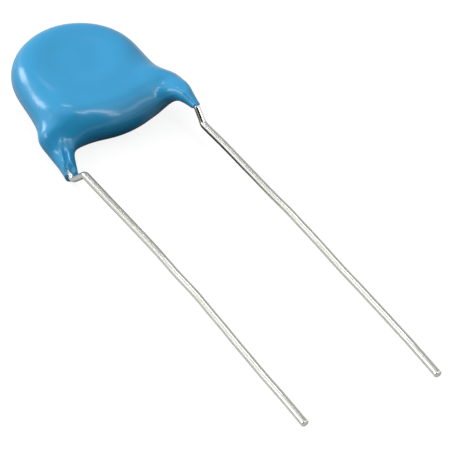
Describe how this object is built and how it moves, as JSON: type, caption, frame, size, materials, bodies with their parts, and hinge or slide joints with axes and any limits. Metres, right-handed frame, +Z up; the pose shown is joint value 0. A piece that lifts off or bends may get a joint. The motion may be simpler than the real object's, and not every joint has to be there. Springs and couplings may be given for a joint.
{
  "type": "radial-lead ceramic disc capacitor",
  "caption": "Ceramic disc capacitor with a blue dipped epoxy coating that runs out along its tinned radial wire leads, lying flat.",
  "frame": {"origin": "on the surface that the part lies on, midway between the leads and level with the disc's centre", "axes": "+Z up through the faces of the disc, -Y along the leads to their tips, +X towards the lead that leaves the upper face"},
  "size_m": [0.0118, 0.0436, 0.0035],
  "materials": {
    "ceramic": "matt sintered titanate",
    "silver": "fired silver film",
    "solder": "satin solder",
    "tinned_wire": "bright tinned",
    "epoxy": "semi-gloss dipped epoxy"
  },
  "bodies": {
    "root": {"ceramic_disc": "ceramic", "top_electrode": "silver", "bottom_electrode": "silver", "top_solder": "solder", "bottom_solder": "solder", "top_lead": "tinned_wire", "bottom_lead": "tinned_wire", "epoxy_coating": "epoxy"}
  },
  "joints": []
}
